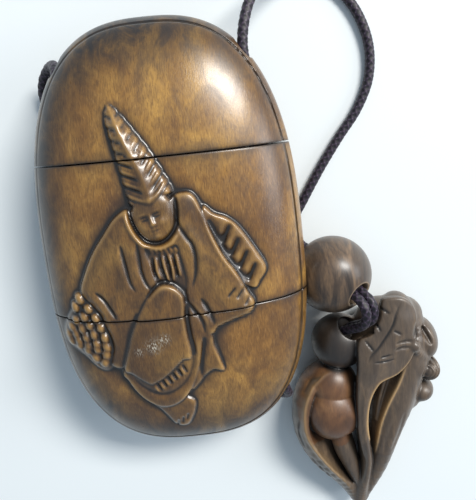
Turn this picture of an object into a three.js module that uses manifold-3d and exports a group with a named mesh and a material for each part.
// A three-part inro case of carved wood, lying on its back, with its cord, bead and toggle.
// Millimetres. X runs across the case, Y from its foot to its lid, Z up from the rest face.
import * as THREE from 'three';
import { mergeVertices } from 'three/addons/utils/BufferGeometryUtils.js';
import Module from 'manifold-3d';

const wasm = await Module();
wasm.setup();

// Case: an egg-like plan, a front crown and a deeper back crown
const halfLength = 47;
const halfWidth = 28.4;
const planPower = 2.68; // 2 is an ellipse, more is squarer
const sideTaper = -0.035; // share of width lost from the middle to the lid's end
const midHeight = 15.5; // the widest contour, above the rest face
const frontRise = 10.7;
const backRise = 16; // the rest face cuts the lowest 0.5 mm of it flat
const crownPower = 2.86;
const frontFall = 0.645;
const backFall = 1;
const rimGroove = { at: 0.943, halfWidth: 0.012, depth: 0.5 };

// Segments
const lidSeam = 19.9;
const footSeam = -12.3;
const gap = 0.3;
const riser = { height: 5.5, wall: 1.0 };
const hollow = { halfWidth: 15.3, halfDepth: 7.6, height: 12.6, power: 3, reach: 42 };
const floorThickness = 2.5;
const hollowEnd = 38;

// Cord and its channels
const cordRadius = 1.1;
const channelRadius = 1.6;
const channelTop = new THREE.Vector3(19.1, 39.5, midHeight);
const channelFoot = new THREE.Vector3(21.3, -38.9, midHeight);

// Bead
const beadRadius = 9.1;
const beadBore = 2.9;
const beadCentre = new THREE.Vector3(35.5, -12.4, beadRadius);
const beadAxis = new THREE.Vector3(0.557, -0.435, 0.707);

const boxwood = new THREE.MeshStandardMaterial({ color: 0x9a6a30, roughness: 0.42, metalness: 0 });
const darkwood = new THREE.MeshStandardMaterial({ color: 0x6b4f38, roughness: 0.5, metalness: 0 });
const nutwood = new THREE.MeshStandardMaterial({ color: 0x5e4630, roughness: 0.45, metalness: 0 });
const silk = new THREE.MeshStandardMaterial({ color: 0x1d1826, roughness: 0.85, metalness: 0 });

// ---- solids and geometry ----

// Closed geometry to a manifold solid, its faces turned outwards.
function solid(geometry) {
  const bare = geometry.clone();
  bare.deleteAttribute('normal');
  bare.deleteAttribute('uv');
  const merged = mergeVertices(bare, 1e-4);
  const place = merged.attributes.position;
  const corner = merged.index.array;
  const faces = [];
  let volume = 0;
  const a = new THREE.Vector3();
  const b = new THREE.Vector3();
  const c = new THREE.Vector3();
  for (let i = 0; i < corner.length; i += 3) {
    const [p, q, r] = [corner[i], corner[i + 1], corner[i + 2]];
    if (p === q || q === r || r === p) continue;
    faces.push([p, q, r]);
    a.fromBufferAttribute(place, p);
    b.fromBufferAttribute(place, q);
    c.fromBufferAttribute(place, r);
    volume += a.dot(b.cross(c));
  }
  if (volume < 0) faces.forEach((face) => face.reverse());
  const triVerts = Uint32Array.from(faces.flat());
  const vertProperties = new Float32Array(place.array);
  return new wasm.Manifold(new wasm.Mesh({ numProp: 3, vertProperties, triVerts }));
}

function meshOf(name, shape, material) {
  const { vertProperties, triVerts } = shape.getMesh();
  const geometry = new THREE.BufferGeometry();
  geometry.setAttribute('position', new THREE.BufferAttribute(vertProperties, 3));
  geometry.setIndex(new THREE.BufferAttribute(triVerts, 1));
  geometry.computeVertexNormals();
  const mesh = new THREE.Mesh(geometry, material);
  mesh.name = name;
  return mesh;
}

// A bar of (steps + 1) sections; placeAt(corner, t) gives each section's corners in turn.
function loft(sides, steps, placeAt) {
  const bar = new THREE.CylinderGeometry(1, 1, 1, sides, steps);
  const place = bar.attributes.position;
  for (let i = 0; i < place.count; i++) {
    const t = place.getY(i) + 0.5;
    const spot = new THREE.Vector3();
    if (Math.hypot(place.getX(i), place.getZ(i)) > 0.5) {
      const turn = Math.atan2(place.getX(i), place.getZ(i)) / (2 * Math.PI);
      spot.copy(placeAt((Math.round(turn * sides) + sides) % sides, t));
    } else {
      for (let k = 0; k < sides; k++) spot.addScaledVector(placeAt(k, t), 1 / sides);
    }
    place.setXYZ(i, spot.x, spot.y, spot.z);
  }
  return bar;
}

// A turned profile of [share, level] pairs; placeAt(share, angle, level) moves each point.
function turned(segments, profile, placeAt) {
  const lathe = new THREE.LatheGeometry(profile.map(([s, l]) => new THREE.Vector2(s, l)), segments);
  const place = lathe.attributes.position;
  for (let i = 0; i < place.count; i++) {
    const share = Math.hypot(place.getX(i), place.getZ(i));
    const angle = Math.atan2(place.getX(i), place.getZ(i));
    const spot = placeAt(share, angle, place.getY(i));
    place.setXYZ(i, spot.x, spot.y, spot.z);
  }
  return lathe;
}

function box(low, high) {
  const size = new THREE.Vector3().subVectors(high, low);
  const block = new THREE.BoxGeometry(size.x, size.y, size.z);
  return solid(block.translate(low.x + size.x / 2, low.y + size.y / 2, low.z + size.z / 2));
}

function rod(from, to, radius, sides = 12) {
  const along = new THREE.Vector3().subVectors(to, from);
  const bar = new THREE.CylinderGeometry(radius, radius, along.length(), sides);
  const turn = new THREE.Quaternion().setFromUnitVectors(
    new THREE.Vector3(0, 1, 0), along.clone().normalize());
  bar.applyQuaternion(turn);
  return solid(bar.translate(...from.clone().addScaledVector(along, 0.5)));
}

// A ball stretched to three radii, turned about Z by `turn` degrees.
function ball(centre, radii, turn = 0, sides = 12, rings = 8) {
  const sphere = new THREE.SphereGeometry(1, sides, rings).scale(...radii);
  return solid(sphere.rotateZ(THREE.MathUtils.degToRad(turn)).translate(...centre));
}

// ---- the case's form ----

function taperAt(y) {
  return 1 + sideTaper * y / halfLength;
}

// The plan outline shrunk to a share of its size.
function planPoint(share, angle) {
  const power = 2 / planPower;
  const c = Math.cos(angle);
  const s = Math.sin(angle);
  const y = halfLength * share * Math.sign(s) * Math.abs(s) ** power;
  const x = halfWidth * share * Math.sign(c) * Math.abs(c) ** power * taperAt(y);
  return [x, y];
}

// 0 on the middle line, 1 on the widest contour.
function planShare(x, y) {
  const across = Math.abs(x / taperAt(y) / halfWidth) ** planPower;
  const along = Math.abs(y / halfLength) ** planPower;
  return (across + along) ** (1 / planPower);
}

function crown(share, fall) {
  return Math.max(0, 1 - share ** crownPower) ** fall;
}

function frontHeight(x, y) {
  return midHeight + frontRise * crown(planShare(x, y), frontFall);
}

function caseBody() {
  const { at, halfWidth: half, depth } = rimGroove;
  const rise = (s) => frontRise * crown(s, frontFall);
  const drop = (s) => -backRise * crown(s, backFall);
  const front = [0, 0.34, 0.56, 0.72, 0.84, at - half].map((s) => [s, rise(s)]);
  const groove = [[at - 0.006, rise(at) - depth], [at + half, rise(at + half)]];
  const side = [[0.985, rise(0.985)], [1, 0]];
  const back = [0.97, 0.91, 0.82, 0.7, 0.54, 0.32, 0].map((s) => [s, drop(s)]);
  const place = (share, angle, level) => {
    const [x, y] = planPoint(share, angle);
    return new THREE.Vector3(x, y, midHeight + level);
  };
  const body = solid(turned(44, [...front, ...groove, ...side, ...back], place));
  return body.subtract(box(new THREE.Vector3(-40, -60, -10), new THREE.Vector3(40, 60, 0)));
}

// ---- the carved figure, on the front crown ----

// A swelling: a closed outline round a centre, with a steep edge and a domed top.
function swelling(centre, outline, edge, height) {
  const curve = new THREE.CatmullRomCurve3(
    outline.map(([x, y]) => new THREE.Vector3(x, y, 0)), true, 'catmullrom', 0.5);
  const rim = curve.getPoints(outline.length * 12).map((p) => {
    const reach = Math.hypot(p.x - centre[0], p.y - centre[1]);
    return { angle: Math.atan2(p.y - centre[1], p.x - centre[0]), reach };
  }).sort((p, q) => p.angle - q.angle);
  const reachAt = (angle) => {
    let k = rim.findIndex((p) => p.angle >= angle);
    if (k < 0) k = 0;
    const next = rim[k];
    const last = rim[(k + rim.length - 1) % rim.length];
    const step = (next.angle - last.angle + 2 * Math.PI) % (2 * Math.PI) || 1;
    const part = ((next.angle - angle + 2 * Math.PI) % (2 * Math.PI)) / step;
    return next.reach + (last.reach - next.reach) * Math.min(1, part);
  };
  return { centre, reachAt, edge, height };
}

// Height of a swelling at a share of the way from its centre to its outline.
function domeAt({ edge, height }, share) {
  return share < 1 ? edge + (height - edge) * Math.sqrt(1 - share ** 3) : 0;
}

function swellingAt(form, x, y) {
  const [dx, dy] = [x - form.centre[0], y - form.centre[1]];
  const share = Math.hypot(dx, dy) / form.reachAt(Math.atan2(dy, dx));
  return domeAt(form, share);
}

function swellingSolid(form, segments, rings) {
  const base = -3;
  const shares = Array.from({ length: rings + 1 }, (_, i) => Math.sin((i / rings) * Math.PI / 2));
  const top = shares.map((s) => [s, domeAt(form, Math.min(s, 0.999))]);
  const profile = [...top, [1, base], [0, base]];
  const [cx, cy] = form.centre;
  return solid(turned(segments, profile, (share, angle, level) => {
    const reach = share * form.reachAt(angle);
    const x = cx + reach * Math.cos(angle);
    const y = cy + reach * Math.sin(angle);
    return new THREE.Vector3(x, y, frontHeight(x, y) + level);
  }));
}

// The cap: a leaf with a raised midrib, widths given from its foot to its tip.
const cap = { foot: 12, tip: 30.3, left: 4.1, right: 3.5, edge: 0.45, ridge: 1.7 };
const capRidge = new THREE.CatmullRomCurve3([
  [-2.3, cap.foot], [-3.4, 16.6], [-5.2, 21.6], [-8.6, cap.tip],
].map(([x, y]) => new THREE.Vector3(x, y, 0)));

function capSection(t) {
  const middle = capRidge.getPoint(t);
  const u = (middle.y - cap.foot) / (cap.tip - cap.foot);
  const left = cap.left * Math.max(0.02, 1 - u ** 1.4) ** 0.8;
  const right = cap.right * Math.max(0.02, 1 - u ** 2) ** 0.5;
  return { middle, left, right, ridge: cap.ridge * (1 - 0.35 * u) };
}

function capSolid() {
  return solid(loft(5, 5, (corner, t) => {
    const { middle, left, right, ridge } = capSection(t);
    const across = [0, right, right, -left, -left][corner];
    const level = [ridge, cap.edge, -2, -2, cap.edge][corner];
    const x = middle.x + across;
    return new THREE.Vector3(x, middle.y, frontHeight(x, middle.y) + level);
  }));
}

function capAt(x, y) {
  if (y < cap.foot || y > cap.tip) return 0;
  const { middle, left, right, ridge } = capSection((y - cap.foot) / (cap.tip - cap.foot));
  const across = x - middle.x;
  const share = across < 0 ? -across / left : across / right;
  return share < 1 ? ridge + (cap.edge - ridge) * share : 0;
}

// The robe's cuff, from the wrist to its lower corner
const cuffLine = new THREE.CatmullRomCurve3([
  [-19.0, -6.2], [-16.2, -10.2], [-14.7, -14.4], [-14.4, -18.6], [-15.5, -22.2],
].map(([x, y]) => new THREE.Vector3(x, y, 0)));

const forms = {
  rearSleeve: swelling([14.2, 0.6], [
    [8, 9], [12.7, 6.7], [15.4, 3.6], [18.2, -1.4], [19.2, -5], [16.9, -8.2], [13.4, -6], [10, 0],
  ], 0.35, 0.9),
  skirtCorner: swelling([4.6, -23], [
    [7.3, -17], [7.5, -21.5], [8.6, -26.4], [5.6, -26.5], [3.4, -28.6], [0.6, -31], [1, -22], [4, -16.5],
  ], 0.35, 0.75),
  foot: swelling([-2.6, -36], [
    [-7.6, -33.4], [-5.9, -37], [-3.6, -40.1], [-0.9, -40.1], [0.5, -36.8], [0.4, -32.6],
  ], 0.3, 1.0),
  hem: swelling([-3.6, -26], [
    [-12.4, -23], [-12, -27.2], [-9.6, -30.4], [-6.6, -33.6], [-3, -34.4], [0.4, -32.4], [3.2, -27],
    [5.4, -18], [-3, -16],
  ], 0.5, 1.25),
  handful: swelling([-19.4, -14.6], [
    [-19.8, -6.4], [-22.6, -10], [-25, -14.6], [-25, -17.4], [-22, -20.2], [-18.6, -23.6], [-15.4, -23],
    [-14.6, -15], [-17, -9],
  ], 0.3, 0.6),
  robe: swelling([-3, -4], [
    [-6.6, 10.2], [-11.4, 8], [-14.8, 2.8], [-17.6, -1.6], [-19.4, -5.8], [-16.4, -9.8],
    [-14.8, -14], [-14.4, -18.6], [-15.4, -22.4], [-12.2, -23.2], [-7, -19], [2, -17.8],
    [9, -15.9], [14.6, -14.6], [15.4, -11], [13.6, -5.2], [10, 1.6], [8.2, 7], [5.6, 11.5], [2.8, 9.6],
  ], 0.6, 1.45),
  panel: swelling([-4.4, -16], [
    [-2.4, -5.5], [0.4, -6], [1.8, -9], [1.9, -15], [1.9, -21.4], [-1.4, -23.4], [-6.4, -27.2],
    [-12.4, -23.6], [-10.6, -17.6], [-8.6, -12.6], [-4.6, -7.4],
  ], 0.55, 1.9),
  face: swelling([-2.5, 7.9], [
    [-3.6, 12.6], [-6, 9.6], [-5.4, 6], [-3.4, 3.6], [-0.9, 3.8], [0.8, 6.6], [0.9, 10.4], [-0.6, 12.9],
  ], 0.7, 2.3),
};

// The face turns with the head: u to the figure's left, v up towards the cap.
const face = { centre: [-2.5, 7.9], tilt: THREE.MathUtils.degToRad(15) };

function facePoint(u, v) {
  const [c, s] = [Math.cos(face.tilt), Math.sin(face.tilt)];
  return [face.centre[0] + u * c - v * s, face.centre[1] + u * s + v * c];
}

forms.nose = swelling(facePoint(0, -0.3), [
  facePoint(-0.3, 1.3), facePoint(-0.75, -1.1), facePoint(0, -1.5), facePoint(0.75, -1.1),
  facePoint(0.3, 1.3),
], 2.1, 2.8);

// Small fruit held in the cuff: rows that follow the cuff line outwards.
const fruitRows = [
  { out: 1.7, count: 6, from: 0.1, to: 1 },
  { out: 4.1, count: 5, from: 0.16, to: 0.92 },
  { out: 6.6, count: 4, from: 0.24, to: 0.74 },
];
const fruit = fruitRows.flatMap(({ out, count, from, to }) => (
  Array.from({ length: count }, (_, i) => {
    const t = from + (to - from) * i / (count - 1);
    const spot = cuffLine.getPoint(t);
    const ahead = cuffLine.getTangent(t);
    const [x, y] = [spot.x + ahead.y * out, spot.y - ahead.x * out];
    const round = [0, 1, 2, 3, 4, 5].map((k) => (
      [x + 1.15 * Math.cos(k * Math.PI / 3), y + 1.4 * Math.sin(k * Math.PI / 3)]));
    return swelling([x, y], round, 0.5, 1.5);
  })));

function reliefAt(x, y) {
  const all = [...Object.values(forms), ...fruit].map((form) => swellingAt(form, x, y));
  return Math.max(capAt(x, y), ...all);
}

// A carved V-cut through `points`, tapering to its two ends.
function cut(points, width, depth) {
  const curve = new THREE.CatmullRomCurve3(points.map(([x, y]) => new THREE.Vector3(x, y, 0)));
  const steps = Math.max(1, Math.round(curve.getLength() / 4));
  return solid(loft(3, steps, (corner, t) => {
    const spot = curve.getPoint(t);
    const ahead = curve.getTangent(t);
    const full = Math.max(0.45, 1 - (2 * t - 1) ** 4);
    const reach = [0, 1, -1][corner] * width * full;
    const level = corner === 0 ? -depth * full : depth;
    const x = spot.x - ahead.y * reach;
    const y = spot.y + ahead.x * reach;
    return new THREE.Vector3(x, y, frontHeight(x, y) + reliefAt(spot.x, spot.y) + level);
  }));
}

function capRibs() {
  const ribs = [];
  for (let i = 0; i < 6; i++) {
    const t = 0.1 + 0.14 * i;
    const { middle, left, right } = capSection(t);
    const { x, y } = middle;
    ribs.push([[x - 0.3 * left, y - 0.1], [x - 1.05 * left, y + 0.5 + 0.15 * left]]);
    ribs.push([[x + 0.3 * right, y + 0.3], [x + 1.05 * right, y + 0.45 * right + 0.6]]);
  }
  return ribs.map((rib) => cut(rib, 0.42, 0.5));
}

function chestPleats() {
  const pleats = [];
  for (let i = 0; i < 5; i++) {
    const x = -3.2 + 1.5 * i;
    pleats.push(cut([[x - 0.3, 2.6], [x + 0.15 * (2 - i), -4.2]], 0.35, 0.45));
  }
  return pleats;
}

function rearSleeveSlots() {
  return [0, 1, 2, 3].map((i) => {
    const [x, y] = [12.3 + 1.5 * i, 4.8 - 2.9 * i];
    return cut([[x - 1.2, y - 1.5], [x + 1.3, y + 1.3]], 0.55, 0.6);
  });
}

function fingerStripes() {
  return [0, 1, 2, 3, 4].map((i) => {
    const [x, y] = [-5.9 + 1.25 * i, -27 + 0.85 * i];
    return cut([[x - 0.35, y + 0.5], [x + 0.8, y - 1.6]], 0.3, 0.45);
  });
}

const folds = [
  [[[-8.9, 3.2], [-8.5, -2.4], [-6.9, -6.9]], 0.4, 0.55],
  [[[-6.2, 4.6], [-5.7, -1.8], [-3.6, -6]], 0.4, 0.6],
  [[[-16, -5.5], [-13.6, -8.4], [-12.2, -12.2]], 0.5, 0.6],
  [[[2.6, 9], [4.1, 3], [3.6, -5]], 0.4, 0.5],
  [[[5, -8.6], [6.7, -12], [7.6, -15]], 0.42, 0.5],
  [[[3.3, -9.3], [5, -12.9], [5.4, -17]], 0.42, 0.5],
  [[[9.6, -4.6], [11.8, -7.4]], 0.4, 0.4],
  [[[-3.9, -28.6], [0.6, -27.2], [3.4, -20.6]], 0.45, 0.4],
  [[[-6.6, 7], [-5.6, 4.1], [-2.6, 2.7], [0.6, 4.2], [1.8, 8.4]], 0.55, 0.8],
];

function faceCuts() {
  const eye = (side) => [facePoint(side * 0.7, 0.62), facePoint(side * 1.5, 0.78), facePoint(side * 2.3, 0.6)];
  const mouth = [facePoint(-1.05, -2.3), facePoint(0, -2.5), facePoint(1.05, -2.3)];
  return [eye(-1), eye(1), mouth].map((line) => cut(line, 0.24, 0.35));
}

function figure(body) {
  let carved = body;
  for (const [name, form] of Object.entries(forms)) {
    carved = carved.add(swellingSolid(form, name === 'nose' ? 6 : 18, 2));
  }
  carved = carved.add(capSolid());
  for (const one of fruit) carved = carved.add(swellingSolid(one, 5, 2));
  const cuts = [
    ...capRibs(), ...chestPleats(), ...rearSleeveSlots(), ...fingerStripes(), ...faceCuts(),
    ...folds.map(([points, width, depth]) => cut(points, width, depth)),
  ];
  for (const one of cuts) carved = carved.subtract(one);
  return carved;
}

// ---- compartments, risers and channels ----

// A bar along Y whose oval section shrinks towards the case's ends.
function ovalBar(from, to, { grow = 0, steps = 1, straight = false } = {}) {
  const sides = 16;
  return solid(loft(sides, steps, (corner, t) => {
    const y = from + (to - from) * t;
    const size = straight ? 1 : Math.sqrt(1 - Math.abs(y / hollow.reach) ** 4);
    const c = Math.cos(corner * 2 * Math.PI / sides);
    const s = Math.sin(corner * 2 * Math.PI / sides);
    const power = 2 / hollow.power;
    const x = (hollow.halfWidth * size + grow) * Math.sign(c) * Math.abs(c) ** power;
    const z = (hollow.halfDepth * size + grow) * Math.sign(s) * Math.abs(s) ** power;
    return new THREE.Vector3(x, y, hollow.height + z);
  }));
}

function slab(from, to) {
  return box(new THREE.Vector3(-40, from, -1), new THREE.Vector3(40, to, 40));
}

function channels(body) {
  let bored = body;
  for (const side of [-1, 1]) {
    const mirror = new THREE.Vector3(side, 1, 1);
    const top = channelTop.clone().multiply(mirror);
    const foot = channelFoot.clone().multiply(mirror);
    const along = new THREE.Vector3().subVectors(top, foot).normalize();
    bored = bored.subtract(rod(
      foot.clone().addScaledVector(along, -10), top.clone().addScaledVector(along, 10), channelRadius));
    // each end of a channel opens to the back, so the cord can turn under the case
    for (const [end, from, to] of [[foot, -60, -33], [top, 33, 60]]) {
      bored = bored.subtract(box(
        new THREE.Vector3(end.x - channelRadius, from, -1),
        new THREE.Vector3(end.x + channelRadius, to, midHeight)));
    }
  }
  return bored;
}

function caseSegments() {
  const body = channels(figure(caseBody()));
  const fit = riser.wall + gap;
  const lidHollow = ovalBar(lidSeam + 1, hollowEnd, { steps: 3 });
  const lidRecess = ovalBar(lidSeam - 1, lidSeam + riser.height + gap, { grow: fit, straight: true });
  const lid = body.intersect(slab(lidSeam + gap / 2, 60)).subtract(lidRecess).subtract(lidHollow);

  const middleFloor = footSeam + riser.height + gap;
  const middleRiser = ovalBar(lidSeam - 2, lidSeam + riser.height, { grow: riser.wall, straight: true });
  const middleHollow = ovalBar(middleFloor + floorThickness, lidSeam + 10, { straight: true });
  const middleRecess = ovalBar(footSeam - 1, middleFloor, { grow: fit, straight: true });
  const middle = body.intersect(slab(footSeam + gap / 2, lidSeam - gap / 2))
    .add(middleRiser).subtract(middleHollow).subtract(middleRecess);

  const footRiser = ovalBar(footSeam - 2, footSeam + riser.height, { grow: riser.wall, straight: true });
  const footMouth = ovalBar(footSeam - 3, footSeam + 10, { straight: true });
  const footHollow = ovalBar(-hollowEnd, footSeam - 2.9, { steps: 4 });
  const bottom = body.intersect(slab(-60, footSeam - gap / 2))
    .add(footRiser).subtract(footMouth).subtract(footHollow);
  return { lid, middle, bottom };
}

// ---- bead ----

function bead() {
  const half = Math.sqrt(beadRadius ** 2 - beadBore ** 2);
  const start = Math.asin(half / beadRadius);
  const profile = [new THREE.Vector2(beadBore, -half)];
  const steps = 11;
  for (let i = 1; i <= steps; i++) {
    const angle = -start + 2 * start * i / steps;
    profile.push(new THREE.Vector2(beadRadius * Math.cos(angle), beadRadius * Math.sin(angle)));
  }
  profile.push(profile[0].clone());
  const ring = new THREE.LatheGeometry(profile, 18);
  const turn = new THREE.Quaternion().setFromUnitVectors(
    new THREE.Vector3(0, 1, 0), beadAxis.clone().normalize());
  return solid(ring.applyQuaternion(turn).translate(...beadCentre));
}

// ---- toggle ----

// A bar through [x, y, z, half width, half depth] stations, its sections upright and oval.
function limb(stations, sides = 10, steps = 10) {
  const line = new THREE.CatmullRomCurve3(stations.map(([x, y, z]) => new THREE.Vector3(x, y, z)));
  const size = new THREE.CatmullRomCurve3(stations.map(([, , , w, d]) => new THREE.Vector3(w, d, 0)));
  return solid(loft(sides, steps, (corner, t) => {
    const spot = line.getPoint(t);
    const { x: wide, y: deep } = size.getPoint(t);
    const ahead = line.getTangent(t).setZ(0).normalize();
    const angle = corner * 2 * Math.PI / sides;
    const across = Math.cos(angle) * wide;
    return new THREE.Vector3(
      spot.x - ahead.y * across, spot.y + ahead.x * across, spot.z + Math.sin(angle) * deep);
  }));
}

// A leaf blade: rows from its stalk to its tip, each [left x, right x, y, height of its top].
function blade(rows, thickness) {
  const left = new THREE.CatmullRomCurve3(rows.map(([x, , y, z]) => new THREE.Vector3(x, y, z)));
  const right = new THREE.CatmullRomCurve3(rows.map(([, x, y, z]) => new THREE.Vector3(x, y, z)));
  return solid(loft(6, 7, (corner, t) => {
    const [a, b] = [left.getPoint(t), right.getPoint(t)];
    const across = [0, 0.5, 1, 1, 0.5, 0][corner];
    const dip = across === 0.5 ? -0.9 : 0;
    const drop = corner > 2 ? -thickness : 0;
    return new THREE.Vector3().lerpVectors(a, b, across).add(new THREE.Vector3(0, 0, dip + drop));
  }));
}

const cordNut = { centre: [36.4, -30, 7.6], radius: 6.8 };
const cordHole = {
  mouth: new THREE.Vector3(41.4, -23.3, 15.6), end: new THREE.Vector3(37.3, -26.6, 9.2), radius: 2.9,
};

function toggle() {
  const husk = limb([
    [39, -77.4, 4.2, 2.2, 2.6], [36.4, -70, 5, 3.4, 4], [32, -60, 6.2, 6.2, 7],
    [29.6, -51, 7.2, 6.4, 7.8], [31.2, -43, 7.2, 6, 7.4], [34.6, -38, 6.6, 3.6, 5],
  ], 10, 8);
  const pod = limb([
    [41, -77, 4.4, 1.8, 2.6], [44, -66, 5.4, 3.6, 5], [48, -54, 6, 5.6, 6.6],
    [52, -42, 6.4, 6.6, 7], [54, -31, 6.6, 5.4, 7], [54, -24, 6.6, 3, 4],
  ], 10, 8);
  const podHollow = limb([
    [42.8, -62, 11.4, 0.6, 1.6], [45.2, -53, 12.6, 1.8, 3.4], [48.2, -44, 13.4, 2.2, 3.6],
    [50.4, -37.4, 14, 0.8, 2],
  ], 6, 4);
  const stem = limb([
    [39.6, -78.6, 5, 3, 3.2], [38.8, -70, 7, 1.8, 3.6], [38.6, -60, 9.2, 1.6, 4.4],
    [39.4, -50, 11, 1.8, 4.8], [40.4, -41, 12.4, 2.4, 4.6],
  ], 8, 6);
  const leaf = blade([
    [38.4, 41.2, -52, 14.6], [38.8, 42, -45, 15.6], [39.2, 44, -39.6, 16.4], [39.2, 50.6, -36, 16.8],
    [41.4, 52.8, -30, 17], [44.6, 53.4, -24.6, 17.2], [45.8, 52.6, -20.6, 17], [47.2, 50.6, -17.6, 16.4],
  ], 2.6);
  let body = husk.add(pod).subtract(podHollow).add(stem).add(leaf);
  const balls = [
    [cordNut.centre, [6.8, 6.8, 6.8], 0, 12, 8], // the nut that takes the cord
    [[33.6, -47.6, 8.8], [6, 5.4, 5.2], 10, 12, 8], // the nut in the open husk
    [[33.4, -40.6, 8], [5.4, 4.6, 5.4], -10, 10, 6], // the nut behind it
    [[46.4, -29, 8.6], [7, 9, 7.4], 0, 10, 6], // the body under the leaf
    [[57.4, -28, 8.6], [2.8, 3.4, 3], 30, 8, 5],
    [[58, -33.2, 8], [2.8, 3, 3.2], 0, 8, 5],
    [[58, -39.4, 8.2], [3.2, 3, 3.4], 0, 8, 5],
    [[56.6, -44.6, 6.6], [2.8, 2.6, 3.4], 0, 8, 5],
    [[53.4, -48, 5.6], [2.8, 2.6, 3.2], 0, 8, 5],
    [[52.8, -30.6, 14.6], [1.7, 2, 2], 0, 7, 5],
  ];
  for (const one of balls) body = body.add(ball(...one));
  const throat = ball([34.6, -57.6, 12.6], [3.6, 7.6, 4.4], 12, 9, 6);
  const tongue = limb([
    [38.2, -70, 8.2, 1, 2.6], [36.6, -62, 8.4, 1.5, 3], [34.4, -55, 8.8, 1.6, 2.6],
  ], 6, 3);
  body = body.subtract(throat).add(tongue);
  body = body.subtract(rod(cordHole.end, cordHole.mouth, cordHole.radius));
  return body.subtract(box(new THREE.Vector3(10, -90, -20), new THREE.Vector3(80, 0, 0)));
}

// ---- cord ----

// A route whose tube takes one step from each point to the next.
class Route extends THREE.CatmullRomCurve3 {
  getUtoTmapping(u) {
    return u;
  }
}

function cordTube(name, points) {
  const route = new Route(points.map((p) => new THREE.Vector3(...p)), false, 'centripetal');
  const section = new THREE.Shape();
  const sides = 8;
  for (let i = 0; i < sides; i++) {
    const angle = i * 2 * Math.PI / sides;
    const [x, y] = [cordRadius * Math.cos(angle), cordRadius * Math.sin(angle)];
    if (i === 0) section.moveTo(x, y);
    else section.lineTo(x, y);
  }
  section.closePath();
  const tube = new THREE.ExtrudeGeometry(section, {
    steps: points.length - 1, bevelEnabled: false, extrudePath: route, curveSegments: 1,
  });
  return meshOf(name, solid(tube), silk);
}

const routeHeld = [
  [19.25, 36, 15.5], [19.8, 14, 15.5], [20.5, -10, 15.5], [21.1, -32, 15.5],
  [21.4, -35.6, 15.1], [22, -38.4, 13.9], [22.5, -40.3, 11.9], [21.9, -41.4, 10],
  [20, -41.8, 8.6], [16.8, -41.3, 8], [9, -40.4, 7.6], [0, -40.3, 7.4], [-9, -39.6, 7.6],
  [-15.6, -38.6, 7.9], [-18.8, -38, 8.9], [-20.8, -37.5, 10.9], [-21.3, -36.5, 13.3],
  [-21.2, -34.6, 14.9], [-21.1, -31.8, 15.5], [-20.5, -10, 15.5], [-19.8, 12, 15.5], [-19.3, 31, 15.5],
];
const routeRight = [
  [19.25, 36.3, 15.5], [19.1, 40, 15.5], [19.8, 44, 15.1], [21.6, 48.6, 13.6], [24.6, 52.6, 11],
  [28.6, 55.4, 7.6], [33.6, 56.4, 4.2], [38.4, 54.6, 2], [42.6, 51, 1.14],
  [46.4, 45.6, 1.12], [48.6, 38.6, 1.12], [48.2, 31.4, 1.12], [45.2, 24.8, 1.12],
  [40.6, 18.8, 1.12], [35.6, 11.8, 1.12], [30.8, 4.2, 1.12],
  [28.5, 0.4, 1.12], [27.9, -2.4, 1.12], [28.6, -4.9, 1.18], [30, -6.5, 1.6],
];
const routeLeft = [
  [-19.3, 31.3, 15.5], [-19.3, 34.2, 15.4], [-19.5, 37, 14.5], [-20.1, 39.3, 12.2],
  [-21.3, 40.3, 9.2], [-23.2, 39.8, 6.6], [-25.2, 37.6, 4.7], [-26.1, 34.6, 3.3],
  [-25.7, 31.4, 2.1], [-23.4, 28.9, 1.3], [-20, 28.4, 1.12], [-15, 29.6, 1.12],
  [-7, 31.8, 1.12], [2.4, 32.4, 1.12], [11.4, 31, 1.12], [18.6, 26.6, 1.12],
  [23, 19.6, 1.12], [24.9, 10.4, 1.12], [25, 1.4, 1.12], [24.9, -2.7, 1.12],
  [25.7, -5.7, 1.12], [27.5, -7.8, 1.35],
];
// through the bead side by side, over, and down into the nut: middle line and sideways arm
const pair = [
  [[30.68, -8.63, 2.98], [0.615, 0.788, 0]], [[33.9, -11.15, 7.07], [0.751, 0.612, -0.215]],
  [[37.1, -13.65, 11.13], [0.826, 0.373, -0.42]],
  [[40.32, -16.17, 15.22], [0.81, 0.099, -0.577]], [[41.55, -17.82, 16.67], [0.81, 0.099, -0.577]],
  [[42.07, -19.99, 17.02], [0.81, 0.099, -0.577]], [[41.84, -22.2, 16.32], [0.81, 0.099, -0.577]],
  [[40.94, -23.66, 14.81], [0.81, 0.099, -0.577]], [[39.94, -24.46, 13.27], [0.81, 0.099, -0.577]],
  [[37.9, -26.1, 10.2], [0.81, 0.099, -0.577]],
];

function pairSide(side) {
  const arm = side * (cordRadius + gap / 2);
  return pair.map(([[x, y, z], [u, v, w]]) => [x + u * arm, y + v * arm, z + w * arm]);
}

// ---- assembly ----

const segments = caseSegments();
const inro = new THREE.Group();
inro.add(
  meshOf('lid', segments.lid, boxwood),
  meshOf('middle_case', segments.middle, boxwood),
  meshOf('bottom_case', segments.bottom, boxwood),
  meshOf('bead', bead(), darkwood),
  meshOf('netsuke', toggle(), nutwood),
  cordTube('cord_held', routeHeld),
  cordTube('cord_right', [...routeRight, ...pairSide(1)]),
  cordTube('cord_left', [...routeLeft, ...pairSide(-1)]),
);

export default inro;
